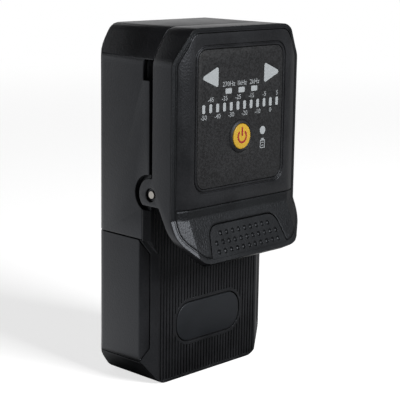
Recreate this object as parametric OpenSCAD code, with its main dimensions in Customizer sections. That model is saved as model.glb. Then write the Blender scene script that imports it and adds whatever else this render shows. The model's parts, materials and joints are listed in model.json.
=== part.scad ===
// Hand-held optical fibre identifier: a rear case, and a front head that pivots on a steel pin.
// Pressing the flared tab opens the jaws at the top, and a fibre lies in the two side notches.
// +X is to the right of the face, -Y is the way that the face looks, +Z is up.

/* [Case] */
// Width across the side faces
case_w = 60.2; // [59:0.2:64]
// Height from the foot to the top
case_h = 120; // [119:0.5:130]
// Depth of the rear case behind the parting plane
case_depth = 26.8; // [26.4:0.2:32]
// Wall of the shells
wall = 2; // [1.8:0.1:2.2]
// Width of the slant cut off each top corner
top_cut_w = 6.9; // [5:0.1:8]
// Height of the slant cut off each top corner
top_cut_h = 10.8; // [9:0.1:11.5]
// Width of the slant cut off each bottom corner
foot_cut_w = 6.8; // [5:0.1:8]
// Height of the slant cut off each bottom corner
foot_cut_h = 9.4; // [8:0.1:10]
// Rounding of the outline's corners
corner_r = 5.6; // [4:0.1:6]
// Rounding of the upright back edges
back_side_r = 4; // [2.5:0.1:4.5]
// Rounding of the back edges at the top and the foot
back_end_r = 1.2; // [0.8:0.1:2.4]
// Gap that shows between the head and the case
parting_gap = 1.3; // [0.8:0.1:1.6]
// Gap of the tight seams
seam = 0.2; // [0.1:0.05:0.3]
// Slack between pieces that are pushed together
fit_gap = 0.1; // [0.05:0.01:0.15]

/* [Ribbed front] */
// Set-back of the ribbed front behind the parting plane
rib_set_back = 2.4; // [2:0.1:3]
// Distance of the ribbed front from the side faces beside the battery door
rib_inset = 5.7; // [5:0.1:6.6]
// Distance of the ribbed front from the side faces above the battery door
rib_inset_top = 2.3; // [2.1:0.1:3]
// Spacing of the ribs
rib_pitch = 1.4; // [1.2:0.1:2]
// Width of the groove between two ribs
rib_groove_w = 0.5; // [0.3:0.05:0.7]
// Depth of the groove between two ribs
rib_groove_d = 0.45; // [0.3:0.05:0.6]
// Plain band between the ribs and an edge
rib_margin = 1; // [0.6:0.1:1.5]
// Set-back of the front edge of the side faces beside the battery door
side_edge_d = 5.7; // [5.2:0.1:6.2]
// Set-back of the front edge of the side faces above the battery door
side_edge_top_d = 4.4; // [4:0.1:4.8]
// Height over which the ribbed front widens beside the top of the door
rib_widen_h = 5.1; // [4:0.1:6]
// Drop of the widening's upper end below the door's upper edge
rib_widen_drop = 0.6; // [0.4:0.1:1]
// Drop of the ribbed front's top below the hinge axis
front_top_drop = 4.3; // [3.8:0.1:5]

/* [Battery door] */
// Height of the door's lower edge
door_low_z = 8.3; // [8:0.1:9]
// Drop of the door's upper edge below the hinge axis
door_top_drop = 15.6; // [15:0.1:16.2]
// Distance of the end of the door's leaf from the side faces
door_leaf_inset = 3.3; // [2.8:0.1:3.5]
// Height of the slant at the upper end of the door's leaf
leaf_top_cut = 5.2; // [4:0.1:6]
// Height of the slant at the lower end of the door's leaf
leaf_low_cut = 4.9; // [4:0.1:6]
// Thickness of the door's leaf
door_leaf_t = 1.2; // [1:0.1:1.5]

/* [Badge] */
// Width of the badge plate
badge_w = 30.8; // [26:0.2:36]
// Height of the badge plate
badge_h = 13.3; // [11.6:0.1:16]
// Height of the badge plate's centre
badge_z = 19.2; // [17:0.1:24]
// Corner radius of the badge plate
badge_r = 5.8; // [2:0.1:5.8]
// Thickness of the badge plate
badge_t = 0.8; // [0.5:0.1:1]
// Groove round the badge plate
badge_gap = 0.45; // [0.2:0.05:0.6]

/* [Fibre notch] */
// Drop of the notch's upper edge below the top
notch_drop = 10.3; // [9.6:0.1:11]
// Height of the notch
notch_h = 6.5; // [5:0.1:7]
// Depth of the notch behind the parting plane
notch_d = 4.2; // [4.1:0.1:4.4]

/* [Hinge] */
// Drop of the hinge axis below the label's lower edge
hinge_drop = 1.9; // [1.2:0.1:2.4]
// Set-back of the hinge axis behind the parting plane
hinge_d = 0.5; // [0.3:0.1:0.7]
// Radius of the hinge pin
pin_r = 1.2; // [1:0.05:1.4]
// Running clearance round the hinge pin
pin_gap = 0.04; // [0.02:0.01:0.08]
// Depth of the pin's ends below the side faces
pin_recess = 0.4; // [0.3:0.1:0.8]
// Radius of the hole in which each end of the pin shows
pin_hole_r = 2.2; // [1.8:0.05:2.5]
// Depth of the hole in which each end of the pin shows
pin_hole_d = 1.2; // [0.9:0.1:1.4]
// Radius of the head's ears
ear_r = 5.4; // [5:0.1:5.6]
// Radius of the recess round the ears
ear_recess_r = 6.1; // [6:0.1:6.4]
// Distance of the recess's centre behind the hinge axis
ear_recess_back = 1.1; // [0.8:0.1:1.4]
// Distance of the recess's centre above the hinge axis
ear_recess_up = 0.3; // [0:0.1:0.5]
// Distance of the ear's flat foot below the hinge axis
ear_foot = 3.8; // [3.5:0.1:4]
// Radius of the case's lugs
lug_r = 3.8; // [3.4:0.1:4]
// Thickness of the case's lugs
lug_t = 2.5; // [2:0.1:3]

/* [Head] */
// Set-forward of the face in front of the parting plane
face_d = 11; // [10.8:0.1:12]
// Distance of the flat of the face from the side faces
face_inset = 5.6; // [4.9:0.1:5.8]
// Set-forward of the bevel where it meets the rim strip
bevel_d = 9.5; // [9.2:0.1:9.7]
// Set-forward of the rim strip at the side faces
rim_d = 9.1; // [8.8:0.1:9.2]
// Width of the rim strip round the front
rim_w = 1.55; // [1.3:0.05:1.8]
// Height of the rim strip's outer edge
rim_edge = 0.3; // [0.2:0.05:0.5]
// Distance of the rim strip's crease from the side faces
rim_crease = 1; // [0.9:0.05:1.1]
// Width of the rim strip's crease
rim_crease_w = 0.2; // [0.1:0.05:0.3]
// Depth of the rim strip's crease
rim_crease_d = 0.15; // [0.1:0.05:0.2]
// Thickness of the shell's lip round the rim
lip_t = 0.65; // [0.5:0.05:0.8]
// Depth of the rim frame behind the front surface
rim_depth = 2.3; // [2.1:0.1:2.4]
// Open seam round the face plate and round the lever cover
seam_w = 0.22; // [0.1:0.01:0.3]
// Open seam between the rim strip and the front edge of the shell
shell_seam = 0.15; // [0.05:0.05:0.2]
// Thickness of the face plate and of the lever cover
plate_t = 1.2; // [1.1:0.05:1.3]
// Width of the flange that carries the face plate
flange_w = 3.4; // [3:0.1:4]
// Drop of the seam between the face plate and the lever cover below the hinge axis
cover_seam_drop = 4; // [3.4:0.1:5]
// Drop of the start of the lever's flare below the hinge axis
flare_drop = 7.1; // [6.3:0.1:8.3]
// Distance of the flat of the lever from the side faces
lever_inset = 6.1; // [5.7:0.1:6.7]
// Forward flare of the lever for each millimetre down
flare_slope = 0.44; // [0.4:0.01:0.46]
// Drop of the tab's front lower edge below the hinge axis
tab_low_drop = 21.4; // [20.6:0.1:22]
// Drop of the skirt's lower back corner below the hinge axis
skirt_low_drop = 23.2; // [22.9:0.1:23.8]
// Set-forward of the skirt's lower back corner
skirt_low_d = 13.7; // [13:0.1:14.2]
// Set-forward of the skirt's upper back corner
skirt_top_d = 3.1; // [2.8:0.1:3.3]
// Width of the slant cut off each lower corner of the tab
tab_cut_w = 8.4; // [7:0.1:9]
// Height of the slant cut off each lower corner of the tab
tab_cut_h = 8.1; // [7:0.1:9]
// Rounding of the tab's corners
tab_r = 8.5; // [6:0.5:9]

/* [Tongue] */
// Distance of the tongue's top corners from the side faces
tongue_top_inset = 14.25; // [13.6:0.05:16]
// Distance of the tongue's foot corners from the side faces
tongue_low_inset = 11.4; // [10.6:0.1:12.6]
// Drop of the tongue's top below the hinge axis
tongue_top_drop = 10.3; // [9.3:0.1:11.3]
// Rounding of the tongue's top corners
tongue_r = 4.2; // [2:0.1:4.6]
// Groove round the tongue
tongue_gap = 0.35; // [0.2:0.05:0.5]
// Width of the flange behind the groove round the tongue
tongue_flange_w = 1.5; // [1:0.1:2]
// Radius of each dimple
dimple_r = 0.9; // [0.6:0.05:1]
// Distance of the outer dimples from the tongue's foot corners
dimple_inset = 4.1; // [3.7:0.1:5.5]
// Depth of the dimples
dimple_d = 0.6; // [0.4:0.05:0.7]
// Drop of the top row of dimples below the tongue's top
dimple_top_drop = 2.5; // [2:0.1:3]
// Height from one row of dimples to the next
dimple_row_h = 2.75; // [2.4:0.05:2.8]

/* [Label] */
// Distance of the label from the sides of the flat of the face
label_inset = 4.1; // [3.7:0.1:4.5]
// Drop of the label's upper edge below the top
label_drop = 7; // [6.6:0.1:8]
// Height of the label
label_h = 44.8; // [43.6:0.1:45.2]
// Corner radius of the label
label_r = 3.5; // [2:0.1:4]
// Thickness of the label panel
label_t = 0.6; // [0.5:0.05:0.7]
// Depth of the label's front below the face
label_sink = 0.1; // [0.05:0.05:0.2]
// Gap round the label
label_gap = 0.2; // [0.1:0.05:0.3]
// Distance of the outer edge of the groove round the label
label_border = 1.45; // [1.2:0.05:1.5]
// Width of the groove round the label
label_groove_w = 0.5; // [0.3:0.05:0.6]
// Depth of the groove round the label
label_groove_d = 0.45; // [0.3:0.05:0.6]

/* [Windows] */
// Distance of the arrow's tip from the side of the label
arrow_inset = 1.2; // [1.1:0.05:2.2]
// Length of an arrow
arrow_l = 8.1; // [6.8:0.05:8.6]
// Drop of the arrows' centre below the label's upper edge
arrow_drop = 8.9; // [8:0.1:9.6]
// Half height of the arrow's back edge
arrow_half_h = 3.45; // [2.5:0.05:3.6]
// Rounding of the arrow's corners
arrow_r = 0.65; // [0.3:0.05:0.8]
// Number of bars in the level scale
bar_count = 12; // [8:1:12]
// Distance of the outer bars from the sides of the label
bar_inset = 1.98; // [1.4:0.01:3.2]
// Width of a bar
bar_w = 1.34; // [1.1:0.02:1.7]
// Height of a bar
bar_h = 2.8; // [2.4:0.1:3.2]
// Drop of the bars' centre below the label's upper edge
bar_drop = 18.85; // [18.4:0.05:19.4]
// Rounding of the bars' corners
bar_r = 0.45; // [0.2:0.05:0.5]
// Spacing of the three tone windows
tone_pitch = 6.2; // [5:0.1:7]
// Width of a tone window
tone_w = 3; // [2.6:0.1:3.6]
// Height of a tone window
tone_h = 1.75; // [1.5:0.05:2.1]
// Drop of the tone windows' centre below the label's upper edge
tone_drop = 13.75; // [13.4:0.05:14.2]
// Rounding of the tone windows' corners
tone_r = 0.35; // [0.2:0.05:0.5]
// Distance of the lamp from the middle
lamp_x = 10.9; // [10:0.1:12]
// Drop of the lamp's centre below the label's upper edge
lamp_drop = 28.2; // [27:0.1:29]
// Radius of the lamp
lamp_r = 1.38; // [1.2:0.02:1.6]

/* [Button] */
// Drop of the power button's centre below the label's upper edge
button_drop = 29.15; // [28:0.05:30]
// Radius of the button cap
button_r = 4.2; // [4:0.05:4.4]
// Radius of the collar round the button
collar_r = 5.45; // [5.4:0.05:5.9]
// Radius of the collar's rim round the cap
collar_top_r = 4.75; // [4.6:0.05:5.2]
// Clearance between the cap and the collar
button_gap = 0.1; // [0.05:0.05:0.2]
// Height of the cap above the face
button_proud = 0.6; // [0.5:0.1:0.9]
// Height of the collar above the face
collar_proud = 0.5; // [0.2:0.1:0.5]
// Travel of the button
button_travel = 0.4; // [0.3:0.05:0.5]

/* [Jaws] */
// Radius of the bend of the moving jaw's pad
jaw_bend_r = 46; // [40:1:60]
// Reach of the moving jaw behind the parting plane
jaw_reach = 5; // [4.6:0.1:5.4]
// Gap between the two jaws when closed
jaw_gap = 1; // [0.8:0.1:1.4]
// Height of the moving jaw
jaw_h = 7; // [6:0.1:7.4]
// Thickness of the jaw pad
jaw_pad_t = 1.2; // [0.8:0.1:1.6]
// Distance of the fixed jaw's raised block from the side faces
jaw_inset = 7.1; // [6.7:0.1:7.6]
// Clearance above and below the moving jaw in its trough
jaw_side_gap = 0.9; // [0.7:0.1:1.2]

/* [Inside] */
// Thickness of the circuit boards
board_t = 1.2; // [1:0.1:1.6]
// Room of the contact springs beyond the cells' flat ends
contact_room = 4.9; // [4.5:0.1:6]
// Radius of a cell
cell_r = 5.25; // [5:0.05:5.3]
// Radius of the screws' shanks
screw_r = 1.2; // [1:0.05:1.3]
// Radius of the screws' heads
screw_head_r = 2.1; // [1.9:0.05:2.3]
// Height of the screws' heads
screw_head_h = 1; // [0.8:0.1:1.1]
// Radius of the spring's wire
wire_r = 0.4; // [0.3:0.05:0.5]

/* [Hidden] */

// Dimples on each side of the middle one, for each row of the tongue
DIMPLE_ROWS = [4, 5, 5];
// Steps of a rounded corner of an outline
ARC_STEPS = 5;
// Facets of round bores and pins
$fn = 48;
// How far a cut reaches past the surface that it opens
over = 1;
// How far a half space reaches
reach = 200;

// Half widths and distances from the middle that follow the width of the case
half_w = case_w / 2;
rib_half_w = half_w - rib_inset;
rib_half_w_top = half_w - rib_inset_top;
door_leaf_x = half_w - door_leaf_inset;
face_half_w = half_w - face_inset;
lever_half_w = half_w - lever_inset;
tongue_top_half = half_w - tongue_top_inset;
tongue_low_half = half_w - tongue_low_inset;
jaw_half_w = half_w - jaw_inset;
label_half_w = face_half_w - label_inset;
arrow_tip_x = label_half_w - arrow_inset;
arrow_back_x = arrow_tip_x - arrow_l;
bar_pitch = (2 * (label_half_w - bar_inset) - bar_w) / (bar_count - 1);
dimple_pitch = (tongue_low_half - dimple_inset) / max(DIMPLE_ROWS);

// Heights that follow the top of the case, the label and the hinge axis
notch_low_z = case_h - notch_drop - notch_h;
label_top_z = case_h - label_drop;
label_low_z = label_top_z - label_h;
hinge_z = label_low_z - hinge_drop;
arrow_z = label_top_z - arrow_drop;
bar_z = label_top_z - bar_drop;
tone_z = label_top_z - tone_drop;
lamp_z = label_top_z - lamp_drop;
button_z = label_top_z - button_drop;
front_top_z = hinge_z - front_top_drop;
door_top_z = hinge_z - door_top_drop;
cover_seam_z = hinge_z - cover_seam_drop;
flare_z = hinge_z - flare_drop;
tab_low_z = hinge_z - tab_low_drop;
skirt_low_z = hinge_z - skirt_low_drop;
tongue_top_z = hinge_z - tongue_top_drop;
dimple_top_z = tongue_top_z - dimple_top_drop;

// Set-forward of the tab's front lower edge
tab_front_d = face_d + flare_slope * (flare_z - tab_low_z);
// The parting plane between the head and the case, with the origin in the middle of the depth
parting_y = (tab_front_d - case_depth) / 2;
hinge_y = hinge_d;
notch_top_z = notch_low_z + notch_h;
flare_angle = atan(flare_slope);
tab_base_z = skirt_low_z - over;
tab_cut_more = tab_low_z - tab_base_z;
door_top_seam_z = door_top_z + seam;
front_plate_back = rib_set_back + wall;
rim_inner_x = half_w - rim_w;
ear_top_z = hinge_z + sqrt(pow(ear_r, 2) - pow(hinge_d, 2));

// Direction of a line
function unit(v) = v / norm(v);

// Difference of two angles, from -180 to 180 degrees
function turn(a) = a > 180 ? a - 360 : a < -180 ? a + 360 : a;

// Arc of radius r that rounds the corner b between a and c
function corner_arc(a, b, c, r) =
    let (
        u = unit(a - b),
        v = unit(c - b),
        half = acos(max(-1, min(1, u * v))) / 2,
        centre = b + unit(u + v) * r / sin(half),
        p = b + u * r / tan(half) - centre,
        q = b + v * r / tan(half) - centre,
        start = atan2(p.y, p.x),
        sweep = turn(atan2(q.y, q.x) - start)
    )
    [for (k = [0 : ARC_STEPS]) centre + r * [cos(start + sweep * k / ARC_STEPS), sin(start + sweep * k / ARC_STEPS)]];

// Outline with every corner rounded by the radius of the same place in radii
function rounded(points, radii) =
    let (n = len(points))
    [
        for (i = [0 : n - 1])
            each radii[i] <= 0
                ? [points[i]]
                : corner_arc(points[(i + n - 1) % n], points[i], points[(i + 1) % n], radii[i])
    ];

// The same radius for every corner
function alike(points, r) = [for (p = points) r];

// Right half of an outline, joined with its mirror image
function both_sides(half) =
    concat(half, [for (i = [len(half) - 1 : -1 : 0]) [-half[i].x, half[i].y]]);

// Upright outline with slanted corners, set in by d on every side
function slanted_outline(d, low, high, low_w, low_h, high_w, high_h) =
    let (
        low_turn = atan(low_w / low_h),
        high_turn = atan(high_w / high_h)
    )
    both_sides([
        [half_w - low_w - d * tan((90 - low_turn) / 2), low + d],
        [half_w - d, low + low_h + d * tan(low_turn / 2)],
        [half_w - d, high - high_h - d * tan(high_turn / 2)],
        [half_w - high_w - d * tan((90 - high_turn) / 2), high - d]
    ]);

// Front outline of the case, set in by d
function case_outline(d) =
    let (points = slanted_outline(d, 0, case_h, foot_cut_w, foot_cut_h, top_cut_w, top_cut_h))
    rounded(points, alike(points, max(corner_r - d, corner_r / 10)));

// Front outline of the head, set in by d, whose foot is as low as the tab's lower corners
function head_outline(d, foot = 0) =
    let (
        low = tab_base_z + foot,
        low_w = tab_cut_w + (tab_cut_more - foot) * tab_cut_w / tab_cut_h,
        low_h = tab_cut_h + tab_cut_more - foot,
        points = slanted_outline(d, low, case_h, low_w, low_h, top_cut_w, top_cut_h),
        tab = max(tab_r - d, corner_r / 10),
        top = max(corner_r - d, corner_r / 10)
    )
    rounded(points, [tab, tab, top, top, top, top, tab, tab]);

// Outline of a rectangle with rounded corners, round the middle of the face
function plate_outline(half, low, high, r) =
    let (points = [[half, low], [half, high], [-half, high], [-half, low]])
    rounded(points, alike(points, r));

// Moves a piece from the parting plane to its place over the origin
module placed() {
    translate([0, parting_y, 0]) children();
}

// Solid of a front outline from the depth y0 to the depth y1
module along_y(y0, y1) {
    translate([0, y1, 0]) rotate([90, 0, 0]) linear_extrude(y1 - y0) children();
}

// Solid of a side outline, drawn with depth across and height up, from x0 to x1
module along_x(x0, x1) {
    translate([x0, 0, 0]) rotate([90, 0, 90]) linear_extrude(x1 - x0) children();
}

// Solid of a plan from the height z0 to the height z1
module along_z(z0, z1) {
    translate([0, 0, z0]) linear_extrude(z1 - z0) children();
}

// Block between two corners
module block(low, high) {
    translate(low) cube(high - low);
}

// Round bar along X
module bar_x(x0, x1, y, z, r) {
    translate([x0, y, z]) rotate([0, 90, 0]) cylinder(h = x1 - x0, r = r);
}

// Round bar along Y
module bar_y(x, z, y0, y1, r) {
    translate([x, y0, z]) rotate([-90, 0, 0]) cylinder(h = y1 - y0, r = r);
}

// The same piece on the left and on the right
module on_both_sides() {
    children();
    mirror([1, 0, 0]) children();
}

// Screw along Y whose head is at the depth y0 and whose tip is at y1
module screw_y(x, z, y0, y1) {
    way = sign(y1 - y0);
    head_end = y0 + way * screw_head_h;
    difference() {
        bar_y(x, z, min(y0, head_end), max(y0, head_end), screw_head_r);
        block(
            [x - screw_head_r, min(y0, y0 + way * screw_head_h / 2) - (way > 0 ? over : 0), z - screw_r / 4],
            [x + screw_head_r, max(y0, y0 + way * screw_head_h / 2) + (way > 0 ? 0 : over), z + screw_r / 4]
        );
    }
    bar_y(x, z, min(head_end, y1), max(head_end, y1), screw_r);
}

// Places of the case's pieces, with depths from the parting plane
case_edge_d = parting_gap - seam / 2;
inner_half_w = half_w - wall - seam;
bulkhead_top_z = notch_low_z - 1.6 * wall;
rib_slope = (side_edge_d - rib_set_back) / (half_w - rib_half_w);
lug_inner_x = inner_half_w - lug_t;
post_r = screw_r + 0.9 * wall;
boss_h = 1.3 * wall;
case_screw_x = inner_half_w - post_r - wall;
case_screw_low_z = door_top_z + post_r + wall;
case_screw_top_z = bulkhead_top_z - post_r - wall;
case_screw_head_d = case_depth - 0.75 * wall;
boss_front_d = case_depth - wall - boss_h;
window_half_w = 3 * wall;

// Depth of the back of the door's leaf at the side walls
leaf_back_d = slant_d(half_w - wall) + door_leaf_t;

// Places of the battery's pieces
tray_half_w = door_leaf_x - 2 * seam;
tray_t = 0.6 * wall;
tray_front_d = front_plate_back + fit_gap;
tray_back_d = tray_front_d + tray_t + 2 * cell_r;
cell_gap_share = 0.045;
cell_z_gap = cell_gap_share * (door_top_z - door_low_z);
cell_mid_z = (door_low_z + door_top_z) / 2;
cell_offset_z = cell_r + cell_z_gap / 2;
cell_d = tray_front_d + tray_t + cell_r + fit_gap;
nub_l = 0.5 * wall;
nub_r = 0.36 * cell_r;
contact_t = 0.2 * wall;
contact_half = 0.75 * cell_r;
tray_inner_x = tray_half_w - tray_t;
nub_tip_x = tray_inner_x - contact_t - fit_gap;
cell_flat_x = contact_room - nub_tip_x;
cell_l = nub_tip_x - cell_flat_x;

// Places of the jaws
jaw_z = notch_low_z + notch_h / 2;
jaw_centre_d = jaw_reach - jaw_bend_r;
trough_half_h = jaw_h / 2 + jaw_side_gap;
jaw_block_half_h = trough_half_h + 0.5 * wall;
jaw_front_d = 1.5 * seam;
jaw_carrier_d = notch_d + fit_gap;
jaw_carrier_t = 1.85 * wall;
jaw_carrier_back = jaw_carrier_d + jaw_carrier_t;
diode_r = 1.15 * wall;
diode_x = 4.5 * wall;
diode_hole_r = 0.4 * wall;
diode_block_half_w = diode_x + 2 * diode_r;
diode_block_back = jaw_carrier_back + 2 * wall;
jaw_screw_x = half_w - top_cut_w - 2 * wall;
jaw_screw_z = jaw_z + jaw_block_half_h + screw_head_r + seam;
detector_half_w = jaw_screw_x - post_r - seam;
detector_front_d = diode_block_back + fit_gap;

// Places of the main board
main_half_w = case_screw_x - post_r - seam;
main_front_d = detector_front_d + board_t + 0.5 * wall;
main_back_d = main_front_d + board_t;
main_low_z = door_top_z + wall;
main_top_z = bulkhead_top_z - wall;
board_screw_x = main_half_w - 1.75 * wall;
board_screw_low_z = main_low_z + 1.75 * wall;
board_screw_top_z = main_top_z - 1.75 * wall;

// Places of the head's pieces
head_back_d = -seam / 2;
head_cover_d = -2 * seam;
head_cover_t = 0.8 * wall;
head_cover_low_z = hinge_z + lug_r + 2 * wall;
plate_back_d = plate_t - face_d;
flange_front = plate_t + fit_gap;
flange_inner_x = rim_inner_x - flange_w;
head_post_r = wall;
head_post_x = flange_inner_x - head_post_r - seam;
head_post_low_z = head_cover_low_z + screw_head_r + wall;
head_post_top_z = jaw_z - jaw_h / 2 - screw_head_r - wall / 2;
display_front_d = plate_back_d + 1.8 * wall;
display_half_w = head_post_x - head_post_r - seam;
display_low_z = hinge_z + ear_r + seam;
pocket_floor_d = label_sink + label_t - face_d;
bar_light_share = 0.37;
led_w = 0.8 * wall;
led_h = 0.5 * wall;
led_t = 0.4 * wall;
arrow_light_x = arrow_back_x + (arrow_tip_x - arrow_back_x) / 3;
switch_half = 1.5 * wall;
switch_front_d = plate_back_d + seam;
stem_r = 0.85 * wall;
stem_tip_d = switch_front_d + 0.3 * wall;
cap_back_d = switch_front_d - button_travel - 1.5 * seam;

// Radius of the rings that keep the pin in place, clear of the ribbed front
pin_ring_r = rib_set_back - hinge_d - fit_gap;

// Places of the spring
coil_half_l = 1.8 * wall;
coil_r = pin_r + 2 * wire_r + wire_r;
leg_root_r = coil_r - 0.75 * wire_r;
spring_leg_x = coil_half_l - 1.5 * wire_r;
end_turn_x = coil_half_l - 3 * wire_r;
spring_leg_z = dimple_top_z - wall / 2;
lever_back_at_leg_d = rim_depth - face_d - flare_slope * (flare_z - spring_leg_z);
lever_leg_d = lever_back_at_leg_d + wire_r / cos(flare_angle) + fit_gap;
case_leg_d = rib_set_back - wire_r - fit_gap;

// Depth of the front surface of the head at a height on the flat of the lever
function lever_front_d(z) = -face_d - flare_slope * (flare_z - z);

// Plan of the case behind its front edge, rounded along the back edges and set in by d
function back_plan(d) =
    rounded(
        [[half_w - d, -over], [half_w - d, case_depth - d], [d - half_w, case_depth - d], [d - half_w, -over]],
        [0, max(back_side_r - d, back_side_r / 5), max(back_side_r - d, back_side_r / 5), 0]
    );

// Side outline of the case, rounded along the back edges and set in by d
function back_side(d) =
    rounded(
        [[-over, d], [case_depth - d, d], [case_depth - d, case_h - d], [-over, case_h - d]],
        [0, max(back_end_r - d, back_end_r / 5), max(back_end_r - d, back_end_r / 5), 0]
    );

// Depth of the slanted front beside the battery door at the distance x
function slant_d(x) = rib_set_back + rib_slope * (x - rib_half_w);

// Plan of everything behind the slanted front beside the battery door
function slanted_plan() =
    both_sides([[rib_half_w, rib_set_back], [half_w + over, slant_d(half_w + over)], [half_w + over, reach]]);

// Outer form of the case, set in by d
module case_solid(d) {
    intersection() {
        along_y(-over, case_depth) polygon(case_outline(d));
        along_z(-over, case_h + over) polygon(back_plan(d));
        along_x(-half_w - over, half_w + over) polygon(back_side(d));
    }
}

// Space in which the ears turn
module ear_space() {
    on_both_sides() bar_x(inner_half_w, half_w + over, hinge_y + ear_recess_back, hinge_z + ear_recess_up, ear_recess_r);
}

// Places of the screws that hold the case together
module at_case_screws() {
    on_both_sides() for (z = [case_screw_low_z, case_screw_top_z]) translate([case_screw_x, 0, z]) children();
}

// Places of the screws that hold the main board
module at_board_screws() {
    on_both_sides() for (z = [board_screw_low_z, board_screw_top_z]) translate([board_screw_x, 0, z]) children();
}

// Places of the screws that hold the fixed jaw
module at_jaw_screws() {
    on_both_sides() translate([jaw_screw_x, 0, jaw_screw_z]) children();
}

// Places of the screws that hold the head together
module at_head_screws() {
    on_both_sides() for (z = [head_post_low_z, head_post_top_z]) translate([head_post_x, 0, z]) children();
}

// Space in front of the rear shell's edges
module shell_front_space() {
    along_x(-half_w - over, half_w + over) polygon([
        [-reach, case_h + over],
        [seam / 2, case_h + over],
        [seam / 2, notch_top_z],
        [notch_d, notch_top_z],
        [notch_d, notch_low_z],
        [case_edge_d, notch_low_z],
        [case_edge_d, hinge_z],
        [side_edge_top_d, hinge_z],
        [side_edge_top_d, door_top_z - over],
        [-reach, door_top_z - over]
    ]);
}

module rear_shell() {
    color("#26272a") placed() difference() {
        union() {
            difference() {
                case_solid(0);
                case_solid(wall);
                shell_front_space();
                ear_space();
                block([-half_w - over, -over, -over], [half_w + over, case_depth + over, door_top_seam_z]);
            }
            at_case_screws() bar_y(0, 0, boss_front_d, case_depth - wall / 2, post_r + wall / 4);
            at_board_screws() bar_y(0, 0, main_back_d + fit_gap, case_depth - wall / 2, post_r);
            at_jaw_screws() bar_y(0, 0, jaw_carrier_back + fit_gap, case_depth - wall / 2, post_r - wall / 4);
        }
        at_case_screws() {
            bar_y(0, 0, case_screw_head_d - screw_head_h, case_depth + over, screw_head_r + fit_gap);
            bar_y(0, 0, boss_front_d - over, case_depth, screw_r + fit_gap);
        }
        at_board_screws() bar_y(0, 0, main_back_d - over, main_back_d + 3 * wall, screw_r + pin_gap);
        at_jaw_screws() bar_y(0, 0, jaw_carrier_back - over, jaw_carrier_back + 3 * wall, screw_r + pin_gap);
    }
}

// One groove between two ribs, from the height z0 up to the top of the ribbed front
module rib_groove(x, z0) {
    block(
        [x - rib_groove_w / 2, rib_set_back - over, z0],
        [x + rib_groove_w / 2, rib_set_back + rib_groove_d, front_top_z - rib_margin]
    );
}

// All grooves of the ribbed front, which stop short of the edges and follow the badge's outline
module rib_grooves() {
    count = floor(rib_half_w / rib_pitch);
    count_top = floor((rib_half_w_top - rib_groove_w) / rib_pitch);
    difference() {
        on_both_sides() {
            for (i = [0 : count - 1]) rib_groove((i + 1 / 2) * rib_pitch, rib_margin);
            for (i = [count : 1 : count_top - 1])
                rib_groove((i + 1 / 2) * rib_pitch, widen_z((i + 1 / 2) * rib_pitch) + rib_margin / 2);
        }
        along_y(-over, front_plate_back) polygon(badge_outline(badge_gap + rib_margin));
    }
}

// Plan of the ribbed front above the battery door
function upper_plan() =
    both_sides([
        [rib_half_w_top, rib_set_back],
        [half_w, side_edge_top_d - 2 * seam],
        [half_w, side_edge_top_d - seam],
        [inner_half_w, side_edge_top_d - seam],
        [inner_half_w, front_plate_back]
    ]);

module front_frame() {
    cap_top_z = door_low_z - seam;
    side_x = door_leaf_x - seam;
    color("#222326") placed() difference() {
        union() {
            intersection() {
                case_solid(0);
                along_z(0, door_top_seam_z) polygon(both_sides([
                    [rib_half_w, rib_set_back],
                    [side_x, slant_d(side_x)],
                    [side_x, front_plate_back]
                ]));
            }
            along_z(door_top_seam_z, front_top_z) polygon(upper_plan());
            on_both_sides() {
                intersection() {
                    along_z(widen_z(rib_half_w), door_top_seam_z + over) polygon(upper_plan());
                    along_y(0, front_plate_back) polygon([
                        [rib_half_w - over, widen_z(rib_half_w)],
                        [rib_half_w, widen_z(rib_half_w)],
                        [rib_half_w_top, widen_z(rib_half_w_top)],
                        [half_w + over, door_top_z],
                        [half_w + over, door_top_seam_z + over],
                        [rib_half_w - over, door_top_seam_z + over]
                    ]);
                }
                intersection() {
                    case_solid(0);
                    along_z(cap_top_z - over, door_top_z) polygon(slanted_plan());
                    leaf_ends(seam);
                }
            }
            block([-inner_half_w, rib_set_back, front_top_z - over], [inner_half_w, front_plate_back, bulkhead_top_z]);
            difference() {
                intersection() {
                    case_solid(0);
                    along_z(0, cap_top_z) polygon(slanted_plan());
                }
                intersection() {
                    case_solid(wall);
                    block([-half_w, side_edge_d + wall, 0], [half_w, case_depth, case_h]);
                }
            }
            on_both_sides() {
                bar_x(lug_inner_x, inner_half_w, hinge_y, hinge_z, lug_r);
                block([lug_inner_x, hinge_y, hinge_z - lug_r], [inner_half_w, front_plate_back, hinge_z + lug_r]);
                block(
                    [lug_inner_x, rib_set_back + wall / 2, hinge_z - ear_recess_r],
                    [inner_half_w, hinge_y + ear_recess_back + ear_recess_r + wall / 2, hinge_z + ear_recess_up + ear_recess_r]
                );
            }
            at_case_screws() bar_y(0, 0, rib_set_back + wall / 2, boss_front_d - fit_gap, post_r);
        }
        ear_space();
        rib_grooves();
        bar_x(-half_w, half_w, hinge_y, hinge_z, pin_r + pin_gap / 2);
        block([-window_half_w, -over, hinge_z - coil_r - seam], [window_half_w, front_plate_back + over, hinge_z + coil_r + seam]);
        along_y(rib_set_back - over, rib_set_back + badge_t) polygon(badge_outline(badge_gap));
        at_case_screws() bar_y(0, 0, boss_front_d - 5 * wall, boss_front_d, screw_r + pin_gap);
    }
}

// Outline of the badge, grown by d
function badge_outline(d) =
    plate_outline(badge_w / 2 + d, badge_z - badge_h / 2 - d, badge_z + badge_h / 2 + d, badge_r + d);

module badge_plate() {
    color("#34363a") placed() along_y(rib_set_back, rib_set_back + badge_t) polygon(badge_outline(0));
}

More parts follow.
